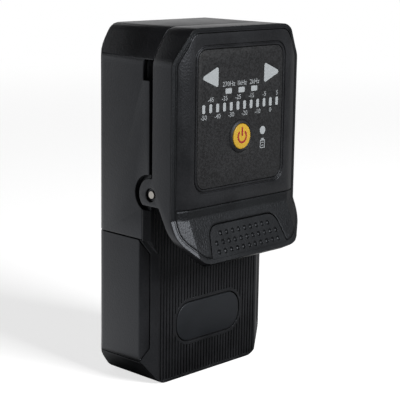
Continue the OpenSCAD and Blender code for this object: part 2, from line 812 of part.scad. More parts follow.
// Corners of the right side that the slanting ends of the door's leaf leave to the frame, less a gap d
module leaf_ends(d) {
    run = half_w - door_leaf_x;
    near_x = door_leaf_x - 1.5 * seam;
    far_x = half_w + over;
    top_gap = d * norm([run, leaf_top_cut]) / run;
    low_gap = d * norm([run, leaf_low_cut]) / run;
    along_y(0, leaf_back_d) polygon([
        [near_x, door_top_z - leaf_top_cut - (door_leaf_x - near_x) * leaf_top_cut / run + top_gap],
        [far_x, door_top_z + (far_x - half_w) * leaf_top_cut / run + top_gap],
        [far_x, door_top_z + leaf_top_cut],
        [near_x, door_top_z + leaf_top_cut]
    ]);
    along_y(0, leaf_back_d) polygon([
        [near_x, door_low_z - leaf_low_cut],
        [far_x, door_low_z - leaf_low_cut],
        [far_x, door_low_z - (far_x - half_w) * leaf_low_cut / run - low_gap],
        [near_x, door_low_z + leaf_low_cut + (door_leaf_x - near_x) * leaf_low_cut / run - low_gap]
    ]);
}

// Height at which the widening of the ribbed front ends at the distance x
function widen_z(x) = door_top_z - rib_widen_drop - (rib_half_w_top - x) * rib_widen_h / (rib_half_w_top - rib_half_w);

module battery_door() {
    color("#26272a") placed() difference() {
        intersection() {
            case_solid(0);
            along_z(door_low_z, door_top_z) polygon(slanted_plan());
        }
        on_both_sides() leaf_ends(0);
        along_z(0, case_h) polygon(both_sides([
            [door_leaf_x, -over],
            [door_leaf_x, slant_d(door_leaf_x) + door_leaf_t],
            [half_w - wall, slant_d(half_w - wall) + door_leaf_t],
            [half_w - wall, case_depth - wall]
        ]));
    }
}

module battery_tray() {
    wall_half_h = cell_offset_z + cell_r;
    color("#1c1d1f") placed() {
        block(
            [-tray_half_w, tray_front_d, cell_mid_z - wall_half_h],
            [tray_half_w, tray_front_d + tray_t, cell_mid_z + wall_half_h]
        );
        on_both_sides() block(
            [tray_inner_x, tray_front_d, cell_mid_z - wall_half_h],
            [tray_half_w, tray_back_d, cell_mid_z + wall_half_h]
        );
        block(
            [-cell_l / 3, tray_front_d, cell_mid_z - cell_z_gap / 4],
            [cell_l / 3, tray_front_d + cell_r, cell_mid_z + cell_z_gap / 4]
        );
    }
}

// The lower and the upper cell's place: they lie head to tail
module at_cells() {
    translate([0, cell_d, cell_mid_z - cell_offset_z]) children();
    translate([0, cell_d, cell_mid_z + cell_offset_z]) mirror([1, 0, 0]) children();
}

module battery_cells() {
    color("#b9862f") placed() at_cells() {
        bar_x(cell_flat_x, nub_tip_x - nub_l, 0, 0, cell_r);
        bar_x(nub_tip_x - nub_l, nub_tip_x, 0, 0, nub_r);
    }
}

module contact_springs() {
    color("#c9ccd0") placed() at_cells() difference() {
        bar_x(-tray_inner_x, cell_flat_x - pin_gap, 0, 0, cell_r * 0.6);
        bar_x(-half_w, half_w, 0, 0, cell_r * 0.6 - 2 * wire_r);
    }
}

module contact_plates() {
    color("#c9ccd0") placed() at_cells() block(
        [tray_inner_x - contact_t, -contact_half, -contact_half],
        [tray_inner_x, contact_half, contact_half]
    );
}

module hinge_pin() {
    color("#c8c3b9") placed() bar_x(pin_recess - half_w, half_w - pin_recess, hinge_y, hinge_z, pin_r);
}

module pin_rings() {
    color("#8d9095") placed() difference() {
        on_both_sides() bar_x(lug_inner_x - 0.5 * wall, lug_inner_x - fit_gap, hinge_y, hinge_z, pin_ring_r);
        bar_x(-half_w, half_w, hinge_y, hinge_z, pin_r + pin_gap / 2);
    }
}

// Straight wire at the distance x, from one place to another, each given as depth and height
module wire(x, from, to) {
    way = to - from;
    translate([x, from.x, from.y]) rotate([atan2(-way.x, way.y), 0, 0]) cylinder(h = norm(way), r = wire_r);
}

// Turns of the spring from x0 to x1, as a sleeve round the hinge pin
module spring_turns(x0, x1) {
    difference() {
        bar_x(x0, x1, hinge_y, hinge_z, coil_r);
        bar_x(-half_w, half_w, hinge_y, hinge_z, coil_r - 2 * wire_r);
    }
}

module torsion_spring() {
    color("#a9adb3") placed() {
        spring_turns(-coil_half_l, end_turn_x - fit_gap);
        wire(-spring_leg_x, [case_leg_d, hinge_z - leg_root_r * 0.72], [case_leg_d, spring_leg_z]);
    }
}

// Last turn of the spring, with the leg that follows the lever
module spring_end() {
    color("#a9adb3") placed() {
        spring_turns(end_turn_x, coil_half_l);
        wire(spring_leg_x, [hinge_y - leg_root_r * 0.94, hinge_z - leg_root_r * 0.34], [lever_leg_d, spring_leg_z]);
    }
}

module fixed_jaw() {
    trough_r = jaw_bend_r + jaw_gap;
    color("#3c3e42") placed() difference() {
        union() {
            intersection() {
                along_y(jaw_carrier_d, jaw_carrier_back) polygon(case_outline(wall + seam));
                block([-half_w, 0, bulkhead_top_z + seam], [half_w, case_depth, case_h]);
            }
            block([-jaw_half_w, jaw_front_d, jaw_z - jaw_block_half_h], [jaw_half_w, jaw_carrier_back, jaw_z + jaw_block_half_h]);
            block(
                [-diode_block_half_w, jaw_carrier_d, jaw_z - jaw_block_half_h],
                [diode_block_half_w, diode_block_back, jaw_z + jaw_block_half_h]
            );
        }
        translate([0, jaw_centre_d, jaw_z - trough_half_h]) cylinder(h = 2 * trough_half_h, r = trough_r, $fn = 180);
        on_both_sides() {
            bar_y(diode_x, jaw_z, jaw_carrier_back, diode_block_back + over, diode_r + pin_gap);
            bar_y(diode_x, jaw_z, 0, diode_block_back, diode_hole_r);
        }
        at_jaw_screws() {
            bar_y(0, 0, 0, jaw_carrier_d + screw_head_h, screw_head_r + fit_gap);
            bar_y(0, 0, 0, case_depth, screw_r + fit_gap);
        }
    }
}

module photodiodes() {
    color("#6b6f75") placed() on_both_sides() bar_y(diode_x, jaw_z, jaw_carrier_back + fit_gap, detector_front_d, diode_r);
}

module detector_board() {
    color("#1f6b3c") placed() block(
        [-detector_half_w, detector_front_d, jaw_z - jaw_block_half_h],
        [detector_half_w, detector_front_d + board_t, jaw_z + jaw_block_half_h]
    );
}

module main_board() {
    color("#1f6b3c") placed() difference() {
        block([-main_half_w, main_front_d, main_low_z], [main_half_w, main_back_d, main_top_z]);
        at_board_screws() bar_y(0, 0, main_front_d - over, main_back_d + over, screw_r + fit_gap);
    }
}

module board_chips() {
    mid_z = (main_low_z + main_top_z) / 2;
    chip = 5 * wall;
    low_chip = 2 * wall;
    color("#17181a") placed() {
        block([-chip / 2, main_front_d - 0.7 * wall, mid_z - chip / 2], [chip / 2, main_front_d, mid_z + chip / 2]);
        block(
            [-chip - low_chip, main_front_d - 0.6 * wall, mid_z + chip],
            [-chip, main_front_d, mid_z + chip + 1.5 * low_chip]
        );
        block(
            [-0.6 * chip, main_front_d - 2 * wall, mid_z - 1.6 * chip],
            [0.6 * chip, main_front_d, mid_z - 1.6 * chip + low_chip]
        );
        bar_y(chip, mid_z - 1.4 * chip, main_front_d - 3 * wall, main_front_d, 1.25 * wall);
    }
}

module buzzer() {
    color("#111214") placed() bar_y(main_half_w / 2, hinge_z + ear_r, main_back_d, main_back_d + 2 * wall, 2.25 * wall);
}

module case_screws() {
    color("#8d9095") placed() at_case_screws() screw_y(0, 0, case_screw_head_d, boss_front_d - 4 * wall);
}

module board_screws() {
    color("#8d9095") placed() at_board_screws() screw_y(0, 0, main_front_d - screw_head_h, main_back_d + 2.5 * wall);
}

module jaw_screws() {
    color("#8d9095") placed() at_jaw_screws() screw_y(0, 0, jaw_carrier_d, jaw_carrier_back + 2.5 * wall);
}

// Plan of everything behind the head's front surface
function front_plan() =
    both_sides([
        [face_half_w, -face_d],
        [rim_inner_x, -bevel_d],
        [half_w, -rim_d],
        [half_w + over, over / 2 - rim_d],
        [half_w + over, case_depth]
    ]);

// Plan of everything behind the lever's front surface, where its flare starts
function lever_plan() =
    let (
        edge_d = rim_d - rim_edge / 3,
        slope = (face_d - edge_d) / (half_w - lever_half_w)
    )
    both_sides([
        [lever_half_w, -face_d],
        [half_w + over, over * slope - edge_d],
        [half_w + over, case_depth]
    ]);

// Everything behind the head's front surface, moved back by d
module behind_front(d) {
    translate([0, d, 0]) {
        along_z(flare_z - over, case_h + over) polygon(front_plan());
        intersection() {
            translate([0, 0, flare_z]) rotate([-flare_angle, 0, 0])
                along_z(-reach, reach) polygon([for (p = lever_plan()) [p.x, p.y * cos(flare_angle)]]);
            block([-half_w - over, -reach, 0], [half_w + over, reach, flare_z + over]);
        }
    }
}

// Layer of the head's front between the depths d0 and d1 behind its surface
module front_layer(d0, d1) {
    difference() {
        behind_front(d0);
        behind_front(d1);
    }
}

// Solid of an outline of the head, through its whole depth
module head_column() {
    along_y(-2 * tab_front_d, case_depth) children();
}

// Ring between two outlines of the head, set in by d0 and d1
module head_ring(d0, d1) {
    difference() {
        head_column() polygon(head_outline(d0));
        head_column() polygon(head_outline(d1, tab_cut_more));
    }
}

// Everything in front of the head's back edge and above its slanted foot
module head_side() {
    foot_run = tab_front_d - skirt_low_d;
    side_x = half_w + over;
    along_x(-side_x, side_x) polygon([
        [head_back_d, case_h + over],
        [head_back_d, hinge_z - ear_foot],
        [-skirt_top_d, hinge_z - ear_foot],
        [-skirt_low_d, skirt_low_z],
        [-tab_front_d - foot_run, 2 * tab_low_z - skirt_low_z],
        [-tab_front_d - foot_run, case_h + over]
    ]);
    intersection() {
        bar_x(-side_x, side_x, hinge_y, hinge_z, ear_r);
        block([-side_x, hinge_y - ear_r - over, hinge_z - ear_foot], [side_x, hinge_y + ear_r + over, hinge_z + ear_r + over]);
    }
}

// Everything inside the rounded ends of the head's slanted foot
module foot_ends() {
    tilt = atan2(tab_low_z - skirt_low_z, tab_front_d - skirt_low_d);
    corner = [half_w - tab_cut_w, 0];
    far = corner + case_h / tab_cut_h * [tab_cut_w, tab_cut_h * cos(tilt)];
    points = both_sides([corner, far]);
    translate([0, -tab_front_d, tab_low_z]) rotate([-tilt, 0, 0])
        along_y(-reach, reach) polygon(rounded(points, [tab_r, 0, 0, tab_r]));
}

module head_shell() {
    color("#27282b") placed() difference() {
        intersection() {
            head_side();
            foot_ends();
            head_column() polygon(head_outline(0));
            behind_front(rim_edge + shell_seam);
        }
        head_column() polygon(head_outline(wall, tab_cut_more));
        intersection() {
            head_column() polygon(head_outline(lip_t));
            front_layer(0, rim_depth + fit_gap);
        }
        bar_x(-half_w - over, half_w + over, hinge_y, hinge_z, pin_r + pin_gap);
        on_both_sides() bar_x(half_w - pin_hole_d, half_w + over, hinge_y, hinge_z, pin_hole_r);
    }
}

// Outline of the tongue, grown by d
function tongue_outline(d) =
    let (
        lean = (tongue_low_half - tongue_top_half) / (tongue_top_z - tab_low_z),
        low = tab_base_z - over,
        points = [
            [tongue_low_half + d + lean * (tab_low_z - low), low],
            [tongue_top_half + d, tongue_top_z + d],
            [-tongue_top_half - d, tongue_top_z + d],
            [-tongue_low_half - d - lean * (tab_low_z - low), low]
        ]
    )
    rounded(points, [0, tongue_r + d, tongue_r + d, 0]);

// Rows of dimples on the tongue
module dimples() {
    for (row = [0 : len(DIMPLE_ROWS) - 1], i = [-DIMPLE_ROWS[row] : DIMPLE_ROWS[row]]) {
        z = dimple_top_z - row * dimple_row_h;
        translate([i * dimple_pitch, lever_front_d(z) - (dimple_r - dimple_d), z]) sphere(r = dimple_r, $fn = 20);
    }
}

module rim_frame() {
    inner_d = lip_t + fit_gap;
    color("#2a2b2e") placed() difference() {
        intersection() {
            union() {
                intersection() {
                    head_ring(0, rim_w);
                    front_layer(0, rim_edge);
                }
                intersection() {
                    head_ring(inner_d, rim_w);
                    front_layer(0, rim_depth);
                }
                intersection() {
                    head_ring(inner_d, rim_w + flange_w);
                    front_layer(flange_front, rim_depth);
                }
                intersection() {
                    head_column() polygon(head_outline(inner_d));
                    union() {
                        intersection() {
                            head_column() polygon(tongue_outline(0));
                            front_layer(0, rim_depth);
                        }
                        intersection() {
                            head_column() polygon(tongue_outline(tongue_flange_w));
                            front_layer(flange_front, rim_depth);
                        }
                    }
                }
            }
            head_side();
            foot_ends();
        }
        intersection() {
            head_ring(rim_crease, rim_crease + rim_crease_w);
            front_layer(-over, rim_crease_d);
        }
        dimples();
    }
}

// Light openings behind the windows, of the radius r for each kind
module light_openings(y0, y1, arrow_hole_r, bar_hole_r, tone_hole_r) {
    on_both_sides() bar_y(arrow_light_x, arrow_z, y0, y1, arrow_hole_r);
    at_bars() bar_y(0, 0, y0, y1, bar_hole_r);
    at_tones() bar_y(0, 0, y0, y1, tone_hole_r);
}

// Places of the bars of the level scale
module at_bars() {
    for (i = [0 : bar_count - 1]) translate([(i - (bar_count - 1) / 2) * bar_pitch, 0, bar_z]) children();
}

// Places of the three tone windows
module at_tones() {
    for (i = [-1 : 1]) translate([i * tone_pitch, 0, tone_z]) children();
}

// Outline of the label, grown by d
function label_outline(d) = plate_outline(label_half_w + d, label_low_z - d, label_top_z + d, label_r + d);

// The layer in which the windows lie
module window_layer() {
    along_y(label_sink - face_d, pocket_floor_d) children();
}

// Window of the width w and the height h, with its corners rounded by r
module window_block(w, h, r) {
    window_layer() polygon(plate_outline(w / 2, -h / 2, h / 2, r));
}

module arrow_pair() {
    points = [[arrow_tip_x, arrow_z], [arrow_back_x, arrow_z + arrow_half_h], [arrow_back_x, arrow_z - arrow_half_h]];
    on_both_sides() window_layer() polygon(rounded(points, alike(points, arrow_r)));
}

module bar_row() {
    at_bars() window_block(bar_w, bar_h, bar_r);
}

module tone_row() {
    at_tones() window_block(tone_w, tone_h, tone_r);
}

module lamp() {
    bar_y(lamp_x, lamp_z, label_sink - face_d, pocket_floor_d, lamp_r);
}

module face_plate() {
    color("#1d1e21") placed() difference() {
        union() {
            intersection() {
                head_column() polygon(head_outline(rim_w + seam_w));
                front_layer(0, plate_t);
                block([-half_w, -reach, cover_seam_z], [half_w, reach, case_h]);
            }
            at_head_screws() bar_y(0, 0, -face_d + plate_t / 2, head_cover_d - head_cover_t - fit_gap / 2, head_post_r);
        }
        along_y(-face_d - over, pocket_floor_d) polygon(label_outline(label_gap));
        difference() {
            along_y(-face_d - over, label_groove_d - face_d) polygon(label_outline(label_border));
            along_y(-face_d - 2 * over, face_d) polygon(label_outline(label_border - label_groove_w));
        }
        light_openings(-face_d, plate_back_d + over, 0.6 * wall, 0.3 * wall, 0.35 * wall);
        bar_y(lamp_x, lamp_z, -face_d, plate_back_d + over, lamp_r / 2);
        bar_y(0, button_z, -face_d, plate_back_d + over, collar_r + pin_gap);
        at_head_screws() bar_y(0, 0, plate_back_d + wall, 0, screw_r + pin_gap);
    }
}

module lever_cover() {
    color("#212225") placed() difference() {
        intersection() {
            head_column() polygon(head_outline(rim_w + seam_w, tab_cut_more));
            front_layer(0, plate_t);
            block([-half_w, -reach, 0], [half_w, reach, cover_seam_z - seam_w]);
        }
        head_column() polygon(tongue_outline(tongue_gap));
    }
}

module label_panel() {
    color("#2e3034") placed() difference() {
        window_layer() polygon(label_outline(0));
        arrow_pair();
        bar_row();
        tone_row();
        lamp();
        bar_y(0, button_z, -face_d, 0, collar_r + pin_gap);
    }
}

module arrow_windows() {
    color("#c9ced0") placed() arrow_pair();
}

module bar_windows() {
    color("#c9ced0") placed() bar_row();
}

module tone_windows() {
    color("#c9ced0") placed() tone_row();
}

module lamp_window() {
    color("#c9ced0") placed() lamp();
}

module light_guide() {
    half = head_post_x - head_post_r - 2 * seam;
    low = bar_z - bar_h - seam;
    high = arrow_z + arrow_half_h;
    color("#e8e8e4") placed() difference() {
        block([-half, plate_back_d, low], [half, display_front_d, high]);
        light_openings(plate_back_d - over, display_front_d + over, 0.7 * wall, bar_light_share * bar_pitch, 0.6 * wall);
    }
}

module display_board() {
    color("#1f6b3c") placed() block(
        [-display_half_w, display_front_d, display_low_z],
        [display_half_w, display_front_d + board_t, arrow_z + arrow_half_h]
    );
}

// One light-emitting diode on the display board
module led() {
    block([-led_w / 2, display_front_d - led_t, -led_h / 2], [led_w / 2, display_front_d, led_h / 2]);
}

module display_lamps() {
    color("#efe9c8") placed() {
        on_both_sides() translate([arrow_light_x, 0, arrow_z]) led();
        at_bars() led();
        at_tones() led();
        translate([lamp_x, 0, lamp_z]) led();
    }
}

module button_switch() {
    color("#202124") placed() difference() {
        block([-switch_half, switch_front_d, button_z - switch_half], [switch_half, display_front_d, button_z + switch_half]);
        bar_y(0, button_z, switch_front_d - over, stem_tip_d + 1.5 * button_travel, stem_r + pin_gap);
    }
}

module button_collar() {
    color("#2c2c2e") placed() difference() {
        union() {
            bar_y(0, button_z, label_sink - face_d, plate_back_d, collar_r);
            translate([0, label_sink - face_d, button_z]) rotate([90, 0, 0])
                cylinder(h = label_sink + collar_proud, r1 = collar_r, r2 = collar_top_r);
            bar_y(0, button_z, plate_back_d, plate_back_d + seam, collar_r + wall / 2);
        }
        bar_y(0, button_z, -2 * face_d, 0, button_r + button_gap);
    }
}

module button_cap() {
    color("#e0a52a") placed() {
        bar_y(0, button_z, -face_d - button_proud, cap_back_d, button_r);
        bar_y(0, button_z, cap_back_d - wall / 4, stem_tip_d, stem_r);
    }
}

module head_cover() {
    color("#1b1c1e") placed() difference() {
        intersection() {
            along_y(head_cover_d - head_cover_t, head_cover_d) polygon(case_outline(wall + seam));
            block([-half_w, -reach, head_cover_low_z], [half_w, reach, case_h]);
        }
        at_head_screws() {
            bar_y(0, 0, -face_d, case_depth, screw_r + fit_gap);
            bar_y(0, 0, head_cover_d - screw_head_h, case_depth, screw_head_r + fit_gap);
        }
    }
}

// Round column about the middle of the jaws' bend, cut off at the head's back cover
module jaw_column(r) {
    intersection() {
        translate([0, jaw_centre_d, jaw_z - jaw_h / 2]) cylinder(h = jaw_h, r = r, $fn = 180);
        block([-half_w, head_cover_d, 0], [half_w, case_depth, case_h]);
    }
}

module moving_jaw() {
    color("#3c3e42") placed() jaw_column(jaw_bend_r - jaw_pad_t);
}

module jaw_pad() {
    color("#15161a") placed() difference() {
        jaw_column(jaw_bend_r);
        translate([0, jaw_centre_d, 0]) cylinder(h = case_h, r = jaw_bend_r - jaw_pad_t, $fn = 180);
    }
}

module head_screws() {
    color("#8d9095") placed() at_head_screws() screw_y(0, 0, head_cover_d, plate_back_d + 1.5 * wall);
}

rear_shell();
front_frame();
battery_door();
badge_plate();
battery_tray();
battery_cells();
contact_springs();
contact_plates();
hinge_pin();
pin_rings();
torsion_spring();
spring_end();
fixed_jaw();
photodiodes();
detector_board();
main_board();
board_chips();
buzzer();
case_screws();
board_screws();
jaw_screws();
head_shell();
rim_frame();
face_plate();
lever_cover();
label_panel();
arrow_windows();
bar_windows();
tone_windows();
lamp_window();
light_guide();
display_board();
display_lamps();
button_switch();
button_collar();
button_cap();
head_cover();
moving_jaw();
jaw_pad();
head_screws();
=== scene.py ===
import json
import math

import bmesh
import bpy
from mathutils import Matrix, Vector


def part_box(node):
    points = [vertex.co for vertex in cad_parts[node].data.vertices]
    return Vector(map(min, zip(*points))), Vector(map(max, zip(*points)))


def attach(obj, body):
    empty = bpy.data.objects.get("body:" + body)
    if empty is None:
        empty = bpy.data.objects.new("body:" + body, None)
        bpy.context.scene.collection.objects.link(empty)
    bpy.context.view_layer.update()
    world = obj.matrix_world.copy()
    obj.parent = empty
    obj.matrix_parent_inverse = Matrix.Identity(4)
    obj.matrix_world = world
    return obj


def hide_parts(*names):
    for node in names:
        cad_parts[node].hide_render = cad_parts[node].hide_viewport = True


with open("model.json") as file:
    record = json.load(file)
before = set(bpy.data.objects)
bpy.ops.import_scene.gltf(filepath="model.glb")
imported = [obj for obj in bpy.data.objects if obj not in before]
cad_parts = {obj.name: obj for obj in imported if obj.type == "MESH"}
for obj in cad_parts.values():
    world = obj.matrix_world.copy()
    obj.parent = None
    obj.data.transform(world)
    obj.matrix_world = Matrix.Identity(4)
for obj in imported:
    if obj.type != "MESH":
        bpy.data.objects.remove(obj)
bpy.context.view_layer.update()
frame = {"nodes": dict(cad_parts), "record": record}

# The looks of a hand-held optical fibre identifier. Lengths are in millimetres until they meet a mesh,
# and the studio round it is in metres.
MM = 0.001


def box_mm(node):
    """Lowest and highest corner of a CAD node, in millimetres."""
    low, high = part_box(node)
    return low / MM, high / MM


# Places that every piece follows, taken from the frame
TOP_Z = box_mm("rear_shell")[1].z
LABEL_Y = box_mm("label_panel")[0].y
BUTTON_LOW, BUTTON_HIGH = box_mm("button_cap")
BUTTON_Z = (BUTTON_LOW.z + BUTTON_HIGH.z) / 2
BAR_LOW, BAR_HIGH = box_mm("bar_windows")
TONE_LOW, TONE_HIGH = box_mm("tone_windows")
LAMP_LOW, LAMP_HIGH = box_mm("lamp_window")

# The print: its thickness, and how far its back stands off the face that it is on
PRINT_T = 0.03
PRINT_LIFT = 0.03

# Numbers above and below the level bars
BAR_COUNT = 12
BAR_W = 1.34
LOWEST_LEVEL = -50
LEVEL_STEP = 5
NUMBER_H = 1.5
NUMBER_UP = 1.45
NUMBER_DOWN = 1.3

# Names above the tone windows
TONES = ("270Hz", "1kHz", "2kHz")
TONE_W = 3.0
TONE_NAME_H = 1.55
TONE_NAME_UP = 1.45

# Battery sign, whose top is this far under the lamp's middle
BATTERY_DROP = 3.25
BATTERY_W = 2.4
BATTERY_H = 2.8
BATTERY_LINE = 0.3
CHARGE_LINES = 2

# Power sign on the button, with its angles in degrees from +X
RING_R = 2.3
RING_HOLE_R = 1.65
RING_FROM = 128
RING_TO = 412
RING_STEPS = 28
STROKE_W = 0.66
STROKE_FROM = 0.2
STROKE_PAST_RING = 0.75

# Outline font: height of a capital as a share of the font's size, and how much bolder it is printed
CAPITAL_SHARE = 0.69
BOLDER = 0.012
LETTER_CURVE_STEPS = 4

# Samples of the node that softens edges, and the colour sockets of the Mix node
EDGE_SAMPLES = 6
MIX_FIRST = 6
MIX_SECOND = 7
MIX_RESULT = 2


class Value:
    """A socket of a node tree, with arithmetic that adds Math nodes."""

    def __init__(self, owner, socket):
        self.owner = owner
        self.socket = socket

    def math(self, operation, first, second):
        return self.owner.node("ShaderNodeMath", {"operation": operation}, {0: first, 1: second})

    def __add__(self, other):
        return self.math("ADD", self, other)

    def __sub__(self, other):
        return self.math("SUBTRACT", self, other)

    def __mul__(self, other):
        return self.math("MULTIPLY", self, other)

    def __rsub__(self, other):
        return self.math("SUBTRACT", other, self)

    __radd__ = __add__
    __rmul__ = __mul__

    def clamp(self):
        """The value, kept between 0 and 1."""
        return self.owner.node("ShaderNodeClamp", {}, {"Value": self, "Min": 0.0, "Max": 1.0})

    def step(self, low, high):
        """Smooth step from 0 at low to 1 at high."""
        settings = {"interpolation_type": "SMOOTHSTEP"}
        inputs = {"Value": self, "From Min": low, "From Max": high}
        return self.owner.node("ShaderNodeMapRange", settings, inputs)


class Tree:
    """A node tree of a material, the world or a geometry group, whose nodes all come from one method."""

    def __init__(self, tree):
        self.tree = tree

    def node(self, kind, settings, inputs, output=0):
        """A node of one kind: its settings first, then the values or links of its sockets."""
        node = self.tree.nodes.new(kind)
        for name, value in settings.items():
            setattr(node, name, value)
        for name, value in inputs.items():
            if isinstance(value, Value):
                self.tree.links.new(value.socket, node.inputs[name])
            else:
                node.inputs[name].default_value = value
        return Value(self, node.outputs[output])


class Shader(Tree):
    """A material with one Principled shader, whose maps are written as expressions."""

    def __init__(self, name, color, roughness, **constants):
        self.material = bpy.data.materials.new(name)
        self.material.use_nodes = True
        super().__init__(self.material.node_tree)
        self.principled = self.tree.nodes["Principled BSDF"]
        self.set("Base Color", (*color, 1))
        self.set("Roughness", roughness)
        for socket, value in constants.items():
            self.set(socket.replace("_", " "), value)
        self.object = self.node("ShaderNodeTexCoord", {}, {}, "Object")

    def set(self, socket, value):
        """Sets or links a socket of the Principled shader."""
        if isinstance(value, Value):
            self.tree.links.new(value.socket, self.principled.inputs[socket])
        else:
            self.principled.inputs[socket].default_value = value

    def noise(self, size, detail=2.0, stretch=(1, 1, 1), roughness=0.5):
        """Noise whose grains are about size millimetres wide."""
        scale = [share / (size * MM) for share in stretch]
        scaled = self.node("ShaderNodeMapping", {}, {"Vector": self.object, "Scale": scale})
        inputs = {"Vector": scaled, "Scale": 1.0, "Detail": detail, "Roughness": roughness}
        return self.node("ShaderNodeTexNoise", {}, inputs)

    def grains(self, size, smooth=0.6):
        """Rounded grains about size millimetres wide, as a spark-eroded mould leaves."""
        settings = {"feature": "SMOOTH_F1"}
        inputs = {"Vector": self.object, "Scale": 1 / (size * MM), "Smoothness": smooth}
        return self.node("ShaderNodeTexVoronoi", settings, inputs, "Distance")

    def blend(self, factor, first, second):
        """Colour that goes from the first to the second."""
        inputs = {0: factor, MIX_FIRST: (*first, 1), MIX_SECOND: (*second, 1)}
        return self.node("ShaderNodeMix", {"data_type": "RGBA"}, inputs, MIX_RESULT)

    def bump(self, height, depth, edge=0.0):
        """Relief of the given depth, over edges softened by a radius, both in millimetres."""
        inputs = {"Height": height, "Distance": depth * MM}
        if edge:
            settings = {"samples": EDGE_SAMPLES}
            inputs["Normal"] = self.node("ShaderNodeBevel", settings, {"Radius": edge * MM})
        self.set("Normal", self.node("ShaderNodeBump", {}, inputs))


# Cool sheen of the moulded plastics
COOL_SHEEN = (0.88, 0.92, 1.0, 1)


def tinted(color, factor):
    """A colour made darker or lighter by a factor."""
    return [min(1, part * factor) for part in color]


def moulded(name, color, roughness, grain, relief, mottle=0.12, gloss=0.5, edge=0.2, cloud=9):
    """Matte moulded plastic with an eroded grain, slightly uneven in colour and sheen.

    Its grain, relief, soft edges and clouds are in millimetres."""
    shader = Shader(name, color, roughness, Specular_IOR_Level=gloss, Specular_Tint=COOL_SHEEN)
    broad = shader.noise(cloud, 3)
    fine = shader.noise(grain, 2)
    tone = (broad * 0.6 + fine * 0.4).step(0.3, 0.7)
    shader.set("Base Color", shader.blend(tone, tinted(color, 1 - mottle), tinted(color, 1 + mottle)))
    shader.set("Roughness", roughness - 0.06 + broad * 0.12)
    shader.bump(fine * 0.5 + shader.grains(grain) * 0.5, relief, edge)
    return shader.material


def label_film(color, dark, light, speck_size=0.7, cloud=7, relief=0.02):
    """Film with a fine printed speck."""
    shader = Shader("label film", color, 0.5)
    speck = shader.noise(speck_size, 2, roughness=0.7).step(0.35, 0.65)
    tone = speck * 0.7 + shader.noise(cloud, 3) * 0.3
    shader.set("Base Color", shader.blend(tone, dark, light))
    shader.set("Roughness", 0.44 + speck * 0.12)
    shader.bump(speck, relief)
    return shader.material


def ink(name, color, patch=0.5, ripple=0.3, relief=0.01):
    """Screen-printed ink, a little uneven."""
    shader = Shader(name, color, 0.5)
    cover = shader.noise(patch, 2).step(0.25, 0.75)
    shader.set("Base Color", shader.blend(cover, tinted(color, 0.86), tinted(color, 1.08)))
    shader.bump(shader.noise(ripple, 2), relief)
    return shader.material


def frosted(color, dark, light, cloud=0.9, ripple=0.25, relief=0.012):
    """Frosted window with a pale body."""
    shader = Shader("frosted window", color, 0.35, Specular_IOR_Level=0.4)
    milk = shader.noise(cloud, 3)
    shader.set("Base Color", shader.blend(milk, dark, light))
    shader.set("Roughness", 0.3 + milk * 0.15)
    shader.bump(shader.noise(ripple, 2), relief)
    return shader.material


def steel(name, color, roughness, streak=0.15, spot=2.5, relief=0.006):
    """Turned or drawn steel, with fine marks that run along X."""
    shader = Shader(name, color, roughness, Metallic=1.0)
    marks = shader.noise(streak, 3, (0.15, 1, 1))
    spots = shader.noise(spot, 3)
    shader.set("Base Color", shader.blend(spots, tinted(color, 0.85), color))
    shader.set("Roughness", roughness - 0.08 + marks * 0.16 + spots * 0.06)
    shader.bump(marks, relief)
    return shader.material


def board_mask(color, dark, light, trace_size=1.6, relief=0.03):
    """Solder mask over copper traces."""
    shader = Shader("board mask", color, 0.3)
    trace = shader.noise(trace_size, 1, (1, 1, 0.25)).step(0.48, 0.54)
    shader.set("Base Color", shader.blend(trace, dark, light))
    shader.bump(trace, relief)
    return shader.material


def glossy(name, color, roughness, flow_size=3, ripple=0.4, relief=0.006):
    """Smooth film or resin, with faint flow marks."""
    shader = Shader(name, color, roughness)
    flow = shader.noise(flow_size, 3)
    shader.set("Base Color", shader.blend(flow, tinted(color, 0.92), tinted(color, 1.05)))
    shader.set("Roughness", roughness - 0.04 + flow * 0.08)
    shader.bump(shader.noise(ripple, 2), relief)
    return shader.material


# Colour of the lever and the rim
LEVER_COLOR = (0.0055, 0.0061, 0.0067)
